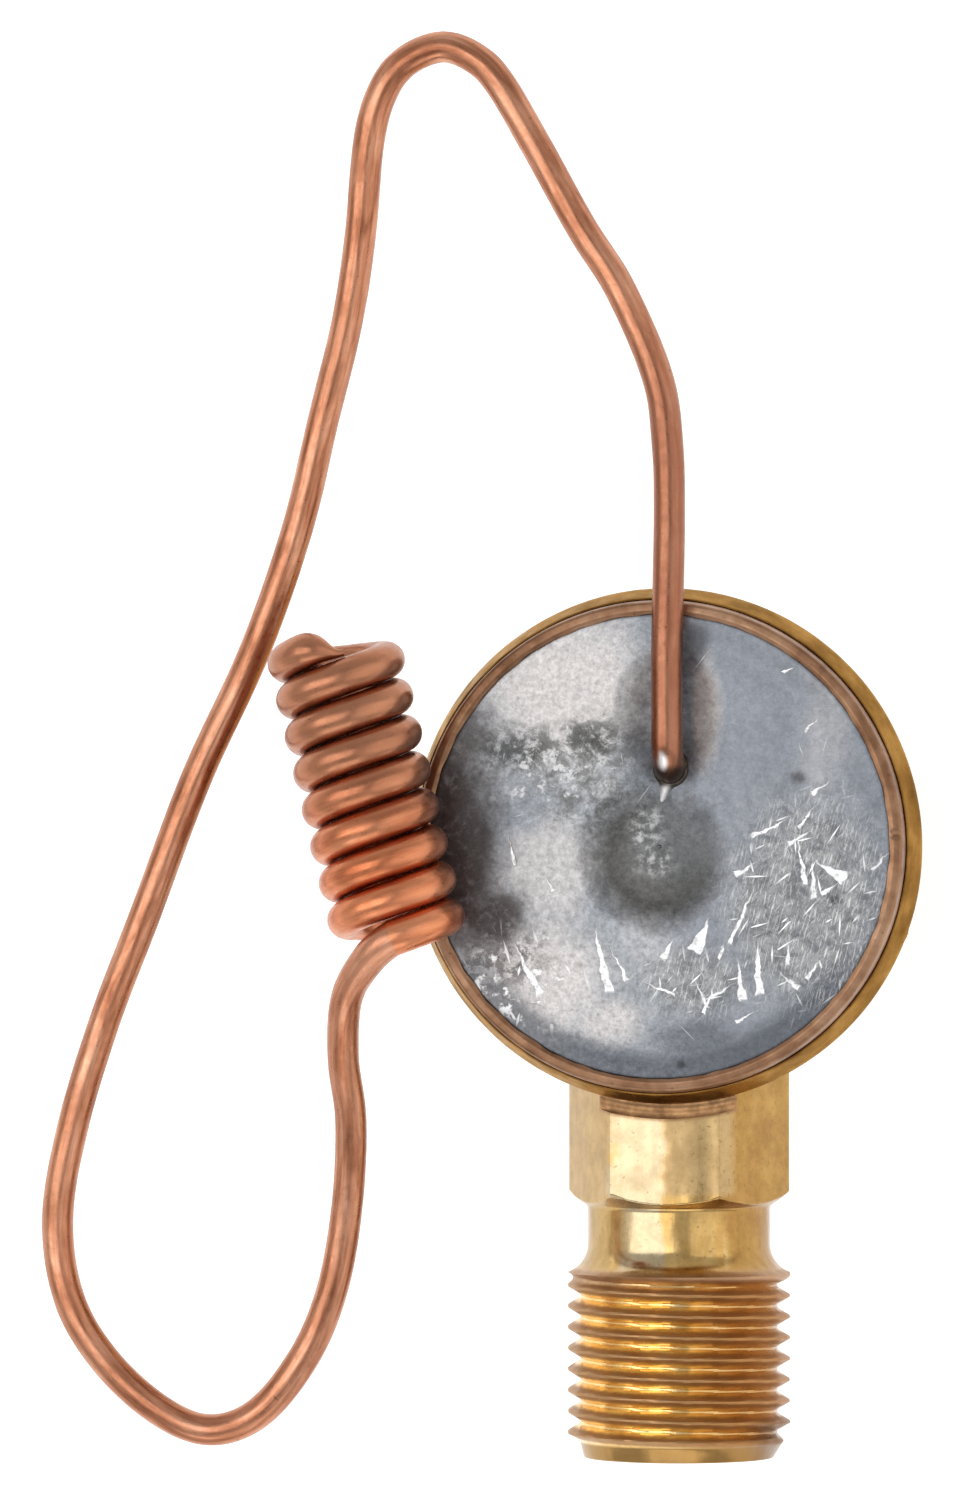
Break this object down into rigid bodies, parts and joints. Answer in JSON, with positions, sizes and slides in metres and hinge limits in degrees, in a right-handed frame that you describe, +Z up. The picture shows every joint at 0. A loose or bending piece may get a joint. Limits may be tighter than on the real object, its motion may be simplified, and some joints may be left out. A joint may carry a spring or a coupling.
{
  "type": "thermostatic expansion valve",
  "caption": "Angle-type thermostatic expansion valve: round diaphragm head, threaded brass inlet arm, hidden threaded outlet, and a bent copper capillary ending in a wound sensing coil.",
  "frame": {"origin": "centre of the outlet's end face, on the valve's axis", "axes": "+Z up the valve's axis, towards the power head; -Y out along the inlet arm; +X to the right when looking down on the head with the inlet arm towards the viewer"},
  "size_m": [0.0628, 0.1012, 0.0476],
  "materials": {
    "body_brass": "polished, lightly oxidised",
    "cup_brass": "satin, heat-tinted",
    "inner_brass": "machined",
    "spring_bronze": "satin",
    "gasket_copper": "satin",
    "braze_copper": "dull, copper-brown",
    "capillary_copper": "satin, aged",
    "coil_copper": "satin, aged",
    "tinned_cap": "tinned, scratched and stained",
    "solder": "satin",
    "steel": "machined",
    "ball_steel": "polished",
    "stainless": "bright",
    "spring_steel": "satin",
    "strainer_steel": "fine mesh",
    "seal_rubber": "matt"
  },
  "bodies": {
    "valve_housing": {"valve_body": "body_brass", "seat_insert": "steel", "inlet_strainer": "strainer_steel", "strainer_ring": "spring_bronze", "head_gasket": "gasket_copper", "push_rod_seals": "seal_rubber", "seal_washer": "steel", "lower_cup": "cup_brass", "diaphragm": "stainless", "top_cap": "tinned_cap", "crimp_ring": "braze_copper", "cap_solder": "solder", "capillary_tube": "capillary_copper", "sensing_coil": "coil_copper", "coil_tip": "coil_copper"},
    "valve_train": {"buffer_plate": "inner_brass", "push_rod_left": "steel", "push_rod_right": "steel", "valve_ball": "ball_steel", "ball_carrier": "inner_brass", "damper_clip": "stainless", "superheat_spring": "spring_steel"},
    "spring_seat_body": {"spring_seat": "steel"},
    "adjuster": {"adjusting_nut": "inner_brass"}
  },
  "joints": [
    {"name": "valve_lift", "type": "slide", "parent": "valve_housing", "child": "valve_train", "axis": [0, 0, -1], "range_m": [0, 0.0008], "stiffness_N_per_m": 500, "springref_m": -0.0006, "deforming": ["superheat_spring", "diaphragm"]},
    {"name": "preload_slide", "type": "slide", "parent": "valve_housing", "child": "spring_seat_body", "axis": [0, 0, 1], "range_m": [-0.001, 0.001], "deforming": ["superheat_spring"]},
    {"name": "adjuster_turn", "type": "hinge", "parent": "spring_seat_body", "child": "adjuster", "pos_m": [0, 0, 0.0033], "axis": [0, 0, 1], "range_deg": [-360, 360]}
  ],
  "couplings": [
    {"joint": "adjuster_turn", "follows": "preload_slide", "rad_per_m": 6283.2}
  ]
}
